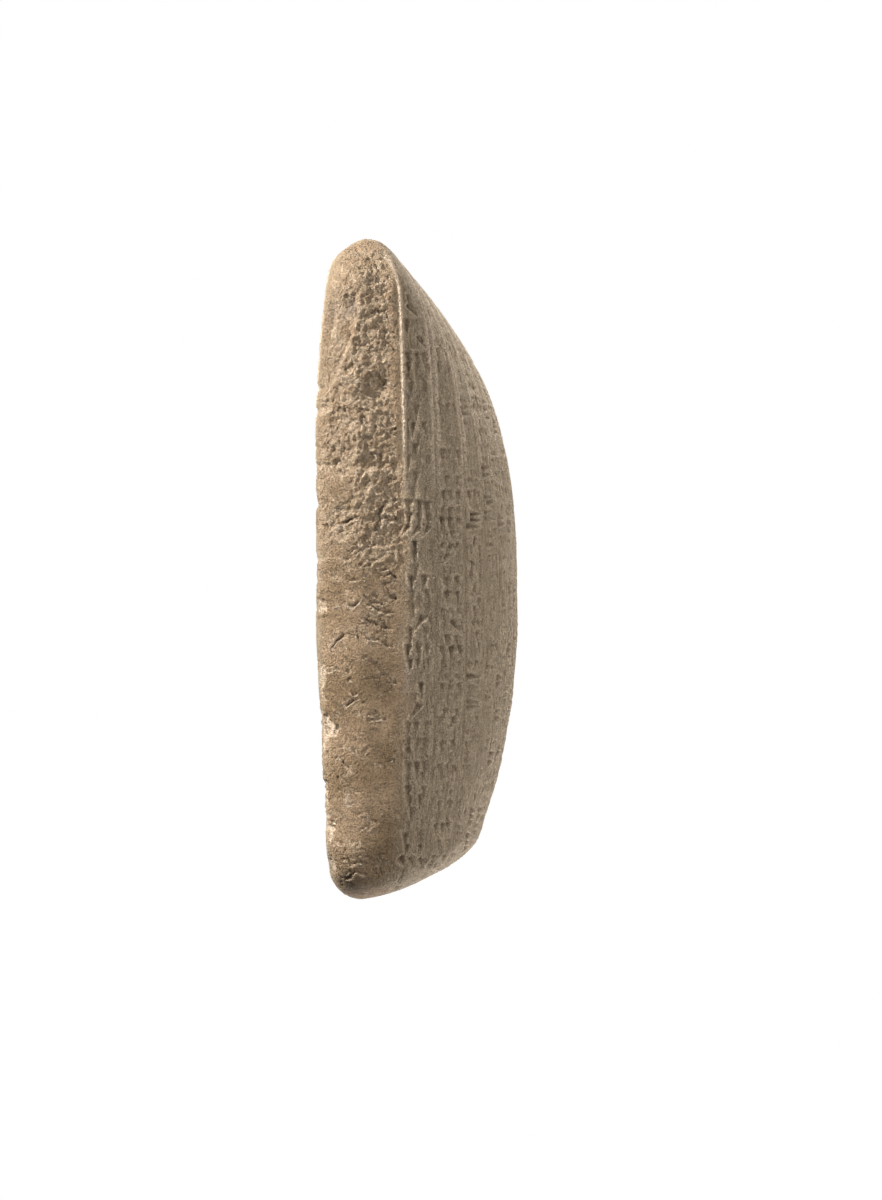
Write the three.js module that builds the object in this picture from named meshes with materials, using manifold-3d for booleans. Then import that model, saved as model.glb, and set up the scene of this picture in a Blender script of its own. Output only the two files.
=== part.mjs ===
// A cuneiform tablet: one lump of clay with a flat face and a domed face, plain bands round
// its sides, and rows of stylus strokes on both faces. The strokes are no real writing.
// It lies on its flat face. X runs along it, Y across it and Z up. All sizes are in millimetres.

import * as THREE from "three";
import { mergeVertices } from "three/addons/utils/BufferGeometryUtils.js";
import Module from "manifold-3d";

// Overall size
const LENGTH = 108;
const WIDTH = 80;
const THICKNESS = 32.7;

// The bands round the sides
const BAND_HEIGHT = 14;
const BAND_MIDDLE = 5.2;
const BAND_BULGE = 1;
const CORNER_RADIUS = 9;
const OUTLINE_BOW = 1.2;
const THIN_END_ROUNDING = 3;
const BLUNT_END_ROUNDING = 7.2;
const FLAT_EDGE_ROUNDING = 6;

// The height of the dome at its two ends, before the rounding
const THIN_END_HEIGHT = 10;
const BLUNT_END_HEIGHT = 4.3;

// How far the underside curves up at its two ends
const THIN_END_LIFT = 2.8;
const BLUNT_END_LIFT = 2.1;

// Proportions of the hand-shaped form, as shares of the half length
const CREST_SHARE = 0.16;
const THIN_FLAT_SHARE = 0.38;
const BLUNT_FLAT_SHARE = 0.2;

// Powers of the form's curves: higher ones keep it full for longer and drop it faster
const THIN_SLOPE_POWER = 3.2;
const BLUNT_SLOPE_POWERS = [1.6, 0.25];
const DOME_POWERS = [2.1, 0.5];
const RIM_POWER = 0.3;
const THIN_LIFT_POWER = 1.66;

// The uneven, hand-pressed surface
const LUMP_DEPTH = 0.25;
const LUMP_SPACING = 17;

// The broken part of the near band
const BREAK_DEPTH = 1.8;
const BREAK_GRAIN = 4.5;

// The writing
const ROW_PITCH = 5.8;
const SIGN_PITCH = 8.6;
const STROKE_LENGTH = 4.4;
const STROKE_HEAD = 2.1;
const STROKE_DEPTH = 0.8;
const UNDERSIDE_SPARSENESS = 1.6;
const STROKE_TURNS = [90, 0, 90, 35, 90, 0, -35];
const TEXT_MARGIN = 7;
const CORNER_MARGIN = 10;

// The first rows above the near band start late, with bare clay before them
const LATE_ROWS = 5;
const LATE_MARGIN = 11;

// No stroke comes this near to the middle of the face that the tablet lies on
const REST_CLEARANCE = 8;

// How much higher than the surface each cutting tool starts
const TOOL_LIFT = 0.5;

// The clay
const CLAY_COLOUR = "#8a765f";
const CLAY_ROUGHNESS = 0.92;

// Cells of the skin along X, Y and Z
const CELLS = [26, 20, 6];

// The skin's points are found from a core this far inside the form
const CORE_INSET = 5.6;

const HALF_LENGTH = LENGTH / 2;
const HALF_WIDTH = WIDTH / 2;

// Cracks across the near band: place along it, height of the middle, length, width, depth and
// the angle to the band in degrees
const CRACKS = [
  { x: -40.8, z: 6.3, length: 3.4, width: 1.1, depth: 1.2, turn: 0 },
  { x: -8, z: 4.3, length: 5, width: 1, depth: 1.1, turn: 55 },
  { x: -8.2, z: 9.6, length: 5.4, width: 1.2, depth: 1, turn: 8 },
  { x: 5.3, z: 5.3, length: 5.2, width: 0.9, depth: 0.8, turn: 70 },
  { x: 12, z: 4.4, length: 5.6, width: 1.1, depth: 1, turn: 78 },
  { x: 11.6, z: 9.8, length: 6, width: 1.1, depth: 1, turn: 94 },
  { x: 18.5, z: 6.1, length: 4, width: 0.9, depth: 0.7, turn: 75 },
  { x: 47.6, z: 5.2, length: 4.6, width: 1.3, depth: 1.4, turn: 80 },
];

// Hollows where lumps of clay have come off the near band
const HOLLOWS = [
  { x: -38.7, z: 4.1, radius: 2.6, depth: 0.9 },
  { x: -29.2, z: 9.6, radius: 2.8, depth: 1.3 },
  { x: -25.2, z: 6.5, radius: 2.4, depth: 1.1 },
  { x: -17.3, z: 9.6, radius: 2.7, depth: 1.2 },
  { x: 26, z: 2, radius: 1.9, depth: 0.8 },
  { x: 40.3, z: 1.8, radius: 1.7, depth: 0.7 },
];

function mix(from, to, share) {
  return from + (to - from) * share;
}

function smoothstep(from, to, value) {
  const share = THREE.MathUtils.clamp((value - from) / (to - from), 0, 1);
  return share * share * (3 - 2 * share);
}

// The larger of two values, with their meeting rounded over the given width
function roundedMax(a, b, width) {
  const overlap = Math.max(width - Math.abs(a - b), 0) / width;
  return Math.max(a, b) + (overlap * overlap * width) / 4;
}

// A repeatable value from 0 to 1 for a whole-numbered place
function placeValue(i, j, k) {
  const mixed = Math.sin(i * 127.1 + j * 311.7 + k * 74.7) * 43758.5453;
  return mixed - Math.floor(mixed);
}

// Smooth noise from -1 to 1, with one lump to each unit
function lumps(x, y, z) {
  const [i, j, k] = [x, y, z].map(Math.floor);
  const [u, v, w] = [x - i, y - j, z - k].map((t) => t * t * (3 - 2 * t));
  const along = (b, c) => mix(placeValue(i, j + b, k + c), placeValue(i + 1, j + b, k + c), u);
  const across = (c) => mix(along(0, c), along(1, c), v);
  return 2 * mix(across(0), across(1), w) - 1;
}

// Height of the dome's ridge along the tablet: a long slope to the thin end, a blunt other end
function ridgeHeight(x) {
  const crest = CREST_SHARE * HALF_LENGTH;
  const past = x - crest;
  const end = mix(THIN_END_HEIGHT, BLUNT_END_HEIGHT, x / LENGTH + 0.5);
  if (past < 0) {
    const share = Math.min(-past / (HALF_LENGTH + crest), 1.1);
    return end + (THICKNESS - end) * (1 - share ** THIN_SLOPE_POWER);
  }
  const share = Math.min(past / (HALF_LENGTH - crest), 1);
  const [rise, fall] = BLUNT_SLOPE_POWERS;
  return end + (THICKNESS - end) * (1 - share ** rise) ** fall;
}

// Height of the domed face over a point of the plan
function domeHeight(x, y) {
  const ridge = ridgeHeight(x);
  const rim = BAND_HEIGHT * (ridge / THICKNESS) ** RIM_POWER;
  const share = Math.min(Math.abs(y) / HALF_WIDTH, 1);
  const [rise, fall] = DOME_POWERS;
  return rim + (ridge - rim) * (1 - share ** rise) ** fall;
}

// Height of the underside, flat in the middle and curving up towards both ends
function undersideHeight(x) {
  const share = x / HALF_LENGTH;
  const thin = Math.max((-share - THIN_FLAT_SHARE) / (1 - THIN_FLAT_SHARE), 0);
  const blunt = Math.max((share - BLUNT_FLAT_SHARE) / (1 - BLUNT_FLAT_SHARE), 0);
  return THIN_END_LIFT * thin ** THIN_LIFT_POWER + BLUNT_END_LIFT * blunt;
}

// Distance outside the plan's rounded, slightly bowed rectangle
function outlineDistance(x, y) {
  const reachX = HALF_LENGTH - OUTLINE_BOW * (y / HALF_WIDTH) ** 2;
  const reachY = HALF_WIDTH - OUTLINE_BOW * (x / HALF_LENGTH) ** 2;
  const overX = Math.abs(x) - reachX + CORNER_RADIUS;
  const overY = Math.abs(y) - reachY + CORNER_RADIUS;
  const corner = Math.hypot(Math.max(overX, 0), Math.max(overY, 0));
  return corner + Math.min(Math.max(overX, overY), 0) - CORNER_RADIUS;
}

// Below zero inside the tablet and above zero outside it
function form(x, y, z) {
  const lift = (z - BAND_MIDDLE) / (BAND_HEIGHT / 2 + 1);
  const side = outlineDistance(x, y) + BAND_BULGE * lift * lift;
  const rounding = mix(THIN_END_ROUNDING, BLUNT_END_ROUNDING, x / LENGTH + 0.5);
  const upper = roundedMax(z - domeHeight(x, y), side, Math.max(rounding, 1));
  return roundedMax(upper, undersideHeight(x) - z, FLAT_EDGE_ROUNDING);
}

// The point where a line from inside the tablet leaves it
function surfaceAlong(start, direction) {
  const point = new THREE.Vector3();
  let inside = 0;
  let outside = LENGTH + WIDTH + THICKNESS;
  for (let step = 0; step < 34; step += 1) {
    const reach = (inside + outside) / 2;
    point.copy(start).addScaledVector(direction, reach);
    if (form(point.x, point.y, point.z) < 0) {
      inside = reach;
    } else {
      outside = reach;
    }
  }
  return point;
}

// The outward direction of the surface at a point
function surfaceNormal(point) {
  const reach = 0.4;
  const slope = ["x", "y", "z"].map((axis) => {
    const ahead = point.clone();
    const behind = point.clone();
    ahead[axis] += reach;
    behind[axis] -= reach;
    return form(ahead.x, ahead.y, ahead.z) - form(behind.x, behind.y, behind.z);
  });
  return new THREE.Vector3(...slope).normalize();
}

// How much clay is gone from the near band towards the thin end
function breakDepth(point) {
  const along = smoothstep(-0.97, -0.86, point.x / HALF_LENGTH);
  const until = 1 - smoothstep(-0.2, 0.02, point.x / HALF_LENGTH);
  const up = smoothstep(0, 0.12, point.z / BAND_HEIGHT) * (1 - smoothstep(0.75, 1, point.z / BAND_HEIGHT));
  const near = smoothstep(0.84, 0.95, -point.y / HALF_WIDTH);
  const grain = 0.6 + 0.7 * lumps(point.x / BREAK_GRAIN, 3.5, point.z / BREAK_GRAIN);
  return BREAK_DEPTH * along * until * up * near * grain;
}

// How much the hand-pressed surface sinks or rises
function unevenness(point) {
  const settled = smoothstep(0.5, 2.5, point.z);
  const [x, y, z] = point.toArray().map((value) => value / LUMP_SPACING);
  return LUMP_DEPTH * settled * lumps(x + 4.2, y + 1.7, z + 2.9);
}

// The skin of the whole tablet as one closed grid
function skinGeometry() {
  const box = new THREE.BoxGeometry(LENGTH, WIDTH, BAND_HEIGHT, ...CELLS);
  box.deleteAttribute("normal");
  box.deleteAttribute("uv");
  const skin = mergeVertices(box);
  const place = skin.attributes.position;
  const core = new THREE.Vector3(LENGTH, WIDTH, BAND_HEIGHT).multiplyScalar(0.5).subScalar(CORE_INSET);
  const start = new THREE.Vector3();
  const direction = new THREE.Vector3();
  const middle = new THREE.Vector3(0, 0, BAND_HEIGHT / 2);
  for (let i = 0; i < place.count; i += 1) {
    direction.fromBufferAttribute(place, i);
    start.copy(direction).clamp(core.clone().negate(), core);
    direction.sub(start).normalize();
    const point = surfaceAlong(start.add(middle), direction);
    const inward = unevenness(point) - breakDepth(point);
    point.addScaledVector(surfaceNormal(point), inward);
    place.setXYZ(i, point.x, point.y, point.z);
  }
  return skin;
}

// A stylus stroke: a four-cornered tool with a wide head, a long tail and its deepest point
// under the head
function strokeTool(point, heading, length, width, depth) {
  const out = surfaceNormal(point);
  const along = heading.clone().addScaledVector(out, -heading.dot(out)).normalize();
  const across = new THREE.Vector3().crossVectors(out, along);
  const spread = (depth + TOOL_LIFT) / depth;
  const top = point.clone().addScaledVector(out, TOOL_LIFT);
  const deep = point.clone().addScaledVector(out, -depth);
  const back = top.clone().addScaledVector(along, -0.28 * length * spread);
  const left = back.clone().addScaledVector(across, (spread * width) / 2);
  const right = back.clone().addScaledVector(across, (-spread * width) / 2);
  const tail = top.clone().addScaledVector(along, 0.72 * length * spread);
  const corners = [left, right, tail, deep].flatMap((corner) => corner.toArray());
  const tool = new THREE.BufferGeometry();
  tool.setAttribute("position", new THREE.Float32BufferAttribute(corners, 3));
  tool.setIndex([0, 1, 2, 1, 0, 3, 2, 1, 3, 0, 2, 3]);
  return tool;
}

// A hollow: a rough ball with its middle outside the surface
function hollowTool(point, radius, depth) {
  const centre = point.clone().addScaledVector(surfaceNormal(point), radius - depth);
  const ball = new THREE.IcosahedronGeometry(radius, 1);
  ball.deleteAttribute("normal");
  ball.deleteAttribute("uv");
  return mergeVertices(ball).translate(centre.x, centre.y, centre.z);
}

// A point on the near band
function bandPoint(x, z) {
  return surfaceAlong(new THREE.Vector3(x, 0, z), new THREE.Vector3(0, -1, 0));
}

// A point of the domed face or of the underside
function facePoint(x, y, side) {
  return surfaceAlong(new THREE.Vector3(x, y, BAND_MIDDLE), new THREE.Vector3(0, 0, side));
}

function crackTools() {
  return CRACKS.map(({ x, z, length, width, depth, turn }) => {
    const angle = THREE.MathUtils.degToRad(turn);
    const heading = new THREE.Vector3(Math.cos(angle), 0, Math.sin(angle));
    return strokeTool(bandPoint(x, z), heading, length, width, depth);
  });
}

function hollowTools() {
  return HOLLOWS.map(({ x, z, radius, depth }) => hollowTool(bandPoint(x, z), radius, depth));
}

// The middles of the rows across a face, equally far apart along its curve
function rowPlaces(side) {
  const places = [];
  const step = 0.25;
  const reach = HALF_WIDTH - 1;
  let travelled = ROW_PITCH / 2;
  let last = facePoint(0, -reach, side);
  for (let y = -reach + step; y <= reach; y += step) {
    const next = facePoint(0, y, side);
    travelled += next.distanceTo(last);
    last = next;
    if (travelled >= ROW_PITCH) {
      travelled -= ROW_PITCH;
      places.push(y);
    }
  }
  return places;
}

// One stroke for each sign in the rows of a face, turned upright, level or aslant by turns
function writingTools(side, signPitch) {
  const tools = [];
  rowPlaces(side).forEach((y, row) => {
    const inset = Math.abs(y) > HALF_WIDTH - CORNER_RADIUS ? CORNER_MARGIN : TEXT_MARGIN;
    const first = -HALF_LENGTH + (row < LATE_ROWS ? LATE_MARGIN : inset);
    const last = HALF_LENGTH - inset;
    for (let x = first + signPitch * placeValue(row, 1, side); x < last; x += signPitch) {
      const sign = Math.round(x * 2) + row * 3;
      const shift = 0.3 * signPitch * (placeValue(sign, row, 5) - 0.5);
      const angle = THREE.MathUtils.degToRad(STROKE_TURNS[Math.abs(sign) % STROKE_TURNS.length]);
      const size = mix(0.8, 1.1, placeValue(sign, row, 9));
      const point = facePoint(x + shift, y, side);
      const onRest = side < 0 && Math.hypot(point.x, point.y) < REST_CLEARANCE;
      if (!onRest) {
        const heading = new THREE.Vector3(Math.cos(angle), Math.sin(angle), 0);
        tools.push(strokeTool(point, heading, STROKE_LENGTH * size, STROKE_HEAD * size, STROKE_DEPTH * size));
      }
    }
  });
  return tools;
}

function solidOf(wasm, geometry) {
  const mesh = new wasm.Mesh({
    numProp: 3,
    vertProperties: Float32Array.from(geometry.attributes.position.array),
    triVerts: Uint32Array.from(geometry.index.array),
  });
  return new wasm.Manifold(mesh);
}

function geometryOf(solid) {
  const mesh = solid.getMesh();
  const geometry = new THREE.BufferGeometry();
  geometry.setAttribute("position", new THREE.Float32BufferAttribute(mesh.vertProperties, 3));
  geometry.setIndex(new THREE.Uint32BufferAttribute(mesh.triVerts, 1));
  return geometry;
}

// Moves the finished form so that it stands on z = 0 with the origin under its middle
function settle(geometry) {
  geometry.computeBoundingBox();
  const box = geometry.boundingBox;
  const middle = box.getCenter(new THREE.Vector3());
  return geometry.translate(-middle.x, -middle.y, -box.min.z);
}

function clayMaterial() {
  return new THREE.MeshStandardMaterial({ color: CLAY_COLOUR, roughness: CLAY_ROUGHNESS, metalness: 0 });
}

async function clayTablet() {
  const wasm = await Module();
  wasm.setup();
  const tools = [
    ...writingTools(1, SIGN_PITCH),
    ...writingTools(-1, UNDERSIDE_SPARSENESS * SIGN_PITCH),
    ...crackTools(),
    ...hollowTools(),
  ];
  let solid = solidOf(wasm, skinGeometry());
  for (const tool of tools) {
    solid = solid.subtract(solidOf(wasm, tool));
  }
  const tablet = new THREE.Mesh(settle(geometryOf(solid)), clayMaterial());
  tablet.name = "clay_tablet";
  return tablet;
}

const object = new THREE.Group();
object.add(await clayTablet());

export default object;
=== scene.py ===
"""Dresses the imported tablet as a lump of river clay, shaped, written on and worn.

All sizes are worked out in millimetres and turned to metres when a mesh is made. X runs along
the tablet, Y across it, away from the near band, and Z up through the domed face.
"""

import logging
import math
from dataclasses import dataclass, field
from enum import Enum
from itertools import product
from typing import ClassVar

import bpy
import numpy as np
from mathutils import Matrix, Vector


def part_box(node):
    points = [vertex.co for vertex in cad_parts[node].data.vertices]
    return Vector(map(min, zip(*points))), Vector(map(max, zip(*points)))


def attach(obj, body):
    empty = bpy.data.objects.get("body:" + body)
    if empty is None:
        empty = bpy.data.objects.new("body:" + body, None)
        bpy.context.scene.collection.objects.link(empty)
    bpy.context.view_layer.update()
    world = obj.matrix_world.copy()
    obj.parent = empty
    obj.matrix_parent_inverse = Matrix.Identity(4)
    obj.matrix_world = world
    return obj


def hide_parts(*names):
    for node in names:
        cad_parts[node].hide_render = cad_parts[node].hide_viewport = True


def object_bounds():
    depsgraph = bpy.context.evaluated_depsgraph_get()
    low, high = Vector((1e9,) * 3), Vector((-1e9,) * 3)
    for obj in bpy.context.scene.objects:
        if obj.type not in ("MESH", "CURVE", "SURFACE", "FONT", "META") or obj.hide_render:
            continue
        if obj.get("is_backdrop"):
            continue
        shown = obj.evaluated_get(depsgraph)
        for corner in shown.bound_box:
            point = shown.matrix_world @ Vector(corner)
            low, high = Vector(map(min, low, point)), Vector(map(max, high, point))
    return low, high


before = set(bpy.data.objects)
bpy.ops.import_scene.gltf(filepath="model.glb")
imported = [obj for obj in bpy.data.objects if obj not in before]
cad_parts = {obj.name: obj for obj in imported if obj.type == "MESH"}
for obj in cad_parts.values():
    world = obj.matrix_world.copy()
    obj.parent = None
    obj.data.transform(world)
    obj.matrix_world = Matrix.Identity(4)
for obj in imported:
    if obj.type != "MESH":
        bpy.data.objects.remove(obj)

log = logging.getLogger("clay_tablet")

MM = 0.001
CAD_NODE = "clay_tablet"


def linear(hex_colour: str) -> tuple[float, float, float, float]:
    """Turns an sRGB hex colour into linear values.

    Args:
        hex_colour: Six hex digits after a hash sign.

    Returns:
        Red, green, blue and an alpha of one.
    """
    channels = [int(hex_colour[i:i + 2], 16) / 255 for i in (1, 3, 5)]
    out = [c / 12.92 if c <= 0.04045 else ((c + 0.055) / 1.055) ** 2.4 for c in channels]
    return (out[0], out[1], out[2], 1.0)


def ramp(low: float, high: float, value: np.ndarray) -> np.ndarray:
    """Rises smoothly from 0 at low to 1 at high.

    Args:
        low: Where the rise starts.
        high: Where it ends; below low it falls instead.
        value: The values to look up.

    Returns:
        The rise at each value.
    """
    share = np.clip((value - low) / (high - low), 0, 1)
    return share * share * (3 - 2 * share)


def rounded_max(a: np.ndarray, b: np.ndarray, width: np.ndarray | float) -> np.ndarray:
    """The larger of two fields, with their meeting rounded.

    Args:
        a: One field.
        b: The other field.
        width: How wide the rounding is.

    Returns:
        The joined field.
    """
    overlap = np.maximum(width - np.abs(a - b), 0) / width
    return np.maximum(a, b) + overlap * overlap * width / 4


# Turns that keep the noise's own grid from lining up with the tablet's sides
PLAN_TURN = np.array(Matrix.Rotation(0.64, 2))
SPACE_TURN = np.array(Matrix.Rotation(0.61, 3, "X") @ Matrix.Rotation(0.83, 3, "Z"))

# The usual primes and odd factors of an integer hash, which gives each cell its own value
CELL_PRIMES = (73856093, 19349663, 83492791)
SEED_FACTOR = 2654435761
HASH_STEPS = ((15, 2246822519), (13, 3266489917))
HASH_BITS = 0xFFFFFFFF


def smooth_noise(points: np.ndarray, size: float, seed: int) -> np.ndarray:
    """Smooth noise from -1 to 1 with one lump to each size.

    Args:
        points: Rows of coordinates in millimetres, two or three to a row.
        size: Size of a lump in millimetres.
        seed: Which noise.

    Returns:
        One value for each point.
    """
    scaled = points @ (PLAN_TURN if points.shape[1] == 2 else SPACE_TURN) / size
    base = np.floor(scaled).astype(np.int64)
    share = scaled - base
    share = share * share * (3 - 2 * share)
    total = np.zeros(len(points))
    for corner in product((0, 1), repeat=points.shape[1]):
        mixed = np.full(len(points), seed * SEED_FACTOR, dtype=np.int64)
        weight = np.ones(len(points))
        for axis, step in enumerate(corner):
            mixed ^= (base[:, axis] + step) * CELL_PRIMES[axis]
            weight *= share[:, axis] if step else 1 - share[:, axis]
        mixed &= HASH_BITS
        for shift, factor in HASH_STEPS:
            mixed = ((mixed ^ (mixed >> shift)) * factor) & HASH_BITS
        total += weight * (((mixed ^ (mixed >> 16)) & 0xFFFF) / 32767.5 - 1)
    return total


def layered_noise(points: np.ndarray, size: float, layers: int, seed: int,
                  keep: float = 0.5) -> np.ndarray:
    """Noise whose layers halve in size and weaken.

    Args:
        points: Rows of coordinates in millimetres.
        size: Size of the largest lumps in millimetres.
        layers: How many layers.
        seed: Which noise.
        keep: How much of its strength each next layer keeps.

    Returns:
        One value for each point, about -1 to 1.
    """
    total = np.zeros(len(points))
    for layer in range(layers):
        total += keep ** layer * smooth_noise(points, size / 2 ** layer, seed + layer)
    return total / sum(keep ** layer for layer in range(layers))


@dataclass
class TabletForm:
    """The plain form of the tablet, in millimetres, before anything marks its surface."""

    length: float
    width: float
    thickness: float
    band_height: float = 14.0
    crease_height: float = 7.0
    crease_slope: float = 0.215
    crease_softness: float = 1.4
    corner_radius: float = 9.0
    outline_bow: float = 1.2
    thin_end_rounding: float = 3.0
    blunt_end_rounding: float = 7.2
    flat_edge_rounding: float = 2.6
    flat_end_rounding: float = 5.5
    thin_end_height: float = 10.0
    blunt_end_height: float = 4.3
    thin_end_lift: float = 2.8
    blunt_end_lift: float = 2.1
    crest_share: float = 0.16
    thin_flat_share: float = 0.38
    blunt_flat_share: float = 0.2
    thin_slope_power: float = 3.2
    blunt_slope_power: float = 1.6
    blunt_edge_power: float = 0.25
    rim_power: float = 0.3
    dome_power: float = 2.1
    lift_power: float = 1.66
    end_zone: tuple[float, float] = (38.0, 50.0)
    normal_step: float = 0.4

    def ridge_height(self, x: np.ndarray) -> np.ndarray:
        """Height of the dome's ridge: a long slope to the thin end and a blunt other end.

        Args:
            x: Places along the tablet.

        Returns:
            The height at each place.
        """
        half = self.length / 2
        crest = self.crest_share * half
        end_mix = x / self.length + 0.5
        end = self.thin_end_height + (self.blunt_end_height - self.thin_end_height) * end_mix
        thin = 1 - np.clip((crest - x) / (half + crest), 0, 1.1) ** self.thin_slope_power
        fall = np.clip((x - crest) / (half - crest), 0, 1) ** self.blunt_slope_power
        blunt = np.clip(1 - fall, 0, 1) ** self.blunt_edge_power
        return end + (self.thickness - end) * np.where(x < crest, thin, blunt)

    def dome_height(self, x: np.ndarray, y: np.ndarray) -> np.ndarray:
        """Height of the domed face over points of the plan.

        Args:
            x: Places along the tablet.
            y: Places across it.

        Returns:
            The height at each point.
        """
        ridge = self.ridge_height(x)
        rim = self.band_height * np.clip(ridge / self.thickness, 0.02, None) ** self.rim_power
        share = np.clip(np.abs(y) / (self.width / 2), 0, 1)
        return rim + (ridge - rim) * np.sqrt(np.clip(1 - share ** self.dome_power, 0, 1))

    def underside_height(self, x: np.ndarray) -> np.ndarray:
        """Height of the underside, flat in the middle and curving up towards both ends.

        Args:
            x: Places along the tablet.

        Returns:
            The height at each place.
        """
        share = x / (self.length / 2)
        thin = np.clip((-share - self.thin_flat_share) / (1 - self.thin_flat_share), 0, None)
        blunt = np.clip((share - self.blunt_flat_share) / (1 - self.blunt_flat_share), 0, None)
        return self.thin_end_lift * thin ** self.lift_power + self.blunt_end_lift * blunt

    def outline_distance(self, x: np.ndarray, y: np.ndarray) -> np.ndarray:
        """Distance outside the plan's rounded and slightly bowed rectangle.

        Args:
            x: Places along the tablet.
            y: Places across it.

        Returns:
            The distance of each point, below zero inside.
        """
        reach_x = self.length / 2 - self.outline_bow * (y / (self.width / 2)) ** 2
        reach_y = self.width / 2 - self.outline_bow * (x / (self.length / 2)) ** 2
        over_x = np.abs(x) - reach_x + self.corner_radius
        over_y = np.abs(y) - reach_y + self.corner_radius
        corner = np.hypot(np.maximum(over_x, 0), np.maximum(over_y, 0))
        return corner + np.minimum(np.maximum(over_x, over_y), 0) - self.corner_radius

    def value(self, points: np.ndarray) -> np.ndarray:
        """Tells the inside of the tablet from its outside.

        Args:
            points: Rows of three coordinates.

        Returns:
            A value for each point, below zero inside and above it outside.
        """
        x, y, z = points.T
        past = np.hypot(z - self.crease_height, self.crease_softness) - self.crease_softness
        side = self.outline_distance(x, y) + self.crease_slope * past
        spread = self.blunt_end_rounding - self.thin_end_rounding
        rounding = self.thin_end_rounding + spread * (x / self.length + 0.5)
        upper = rounded_max(z - self.dome_height(x, y), side, np.maximum(rounding, 1))
        spread = self.flat_end_rounding - self.flat_edge_rounding
        lower = self.flat_edge_rounding + spread * ramp(*self.end_zone, np.abs(x))
        return rounded_max(upper, self.underside_height(x) - z, lower)

    def project(self, start: np.ndarray, direction: np.ndarray) -> np.ndarray:
        """Follows lines from inside the tablet to its surface.

        Args:
            start: Where each line starts.
            direction: Its direction, of length one.

        Returns:
            Where each line leaves the tablet.
        """
        inside = np.zeros(len(start))
        outside = np.full(len(start), self.length)
        for _ in range(26):
            reach = (inside + outside) / 2
            within = self.value(start + direction * reach[:, None]) < 0
            inside = np.where(within, reach, inside)
            outside = np.where(within, outside, reach)
        return start + direction * inside[:, None]

    def normals(self, points: np.ndarray) -> np.ndarray:
        """The outward direction of the surface.

        Args:
            points: Rows of three coordinates.

        Returns:
            A direction of length one for each point.
        """
        slope = np.zeros_like(points)
        for axis in range(3):
            step = np.zeros(3)
            step[axis] = self.normal_step
            slope[:, axis] = self.value(points + step) - self.value(points - step)
        return slope / np.linalg.norm(slope, axis=1)[:, None]


@dataclass
class SkinGrid:
    """A closed grid of points over the tablet, with its six sheets kept apart by name.

    The cells are finest on the near band and on the first rows above it.
    """

    form: TabletForm
    core_inset: float = 5.6
    cells_along: int = 520
    cells_rim: int = 40
    cells_near: int = 118
    cells_far: int = 130
    cells_up: int = 78
    points: np.ndarray = field(init=False)
    quads: np.ndarray = field(init=False)
    sheets: dict[str, np.ndarray] = field(init=False)

    def __post_init__(self) -> None:
        """Lays the grid out on a box and takes its points to the tablet's surface."""
        form = self.form
        half = np.array([form.length, form.width, form.band_height]) / 2
        rim = half[1] - self.core_inset
        xs = np.linspace(-half[0], half[0], self.cells_along + 1)
        ys = np.concatenate([
            np.linspace(-half[1], -rim, self.cells_rim, endpoint=False),
            np.linspace(-rim, 0, self.cells_near, endpoint=False),
            np.linspace(0, half[1], self.cells_far + 1),
        ])
        zs = np.linspace(-half[2], half[2], self.cells_up + 1)
        shell = np.ones((len(xs), len(ys), len(zs)), bool)
        shell[1:-1, 1:-1, 1:-1] = False
        ids = np.full(shell.shape, -1)
        ids[shell] = np.arange(shell.sum())
        i, j, k = np.nonzero(shell)
        box = np.stack([xs[i], ys[j], zs[k]], 1)
        core = half - self.core_inset
        start = np.clip(box, -core, core)
        direction = box - start
        direction /= np.linalg.norm(direction, axis=1)[:, None]
        start[:, 2] += half[2]
        self.points = form.project(start, direction)
        self.sheets = {
            "dome": ids[:, :, -1],
            "flat": ids[:, :, 0],
            "near": ids[:, 0, :],
            "far": ids[:, -1, :],
            "thin": ids[0, :, :],
            "blunt": ids[-1, :, :],
        }
        turned = {"flat", "far", "thin"}
        parts = [self._quads(sheet, name in turned) for name, sheet in self.sheets.items()]
        self.quads = np.concatenate(parts)

    @staticmethod
    def _quads(sheet: np.ndarray, turned: bool) -> np.ndarray:
        """Finds the four corners of each cell of a sheet.

        Args:
            sheet: The numbers of the sheet's points.
            turned: Whether its cells are turned over, to face outwards.

        Returns:
            Four numbers to a row.
        """
        corners = [sheet[:-1, :-1], sheet[1:, :-1], sheet[1:, 1:], sheet[:-1, 1:]]
        quads = np.stack(corners, -1).reshape(-1, 4)
        return quads[:, ::-1] if turned else quads

    def across(self, name: str) -> np.ndarray:
        """Measures along the surface from a face's near rim.

        Args:
            name: Which sheet.

        Returns:
            The distance for each point of the sheet.
        """
        place = self.points[self.sheets[name]]
        steps = np.linalg.norm(np.diff(place, axis=1), axis=2)
        return np.concatenate([np.zeros((len(place), 1)), np.cumsum(steps, axis=1)], axis=1)


class StrokeKind(Enum):
    """The ways a stylus is pressed into the clay, as an angle to the row in degrees."""

    LEVEL = 0
    UPRIGHT = 90
    FALLING = 38
    RISING = -35


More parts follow.
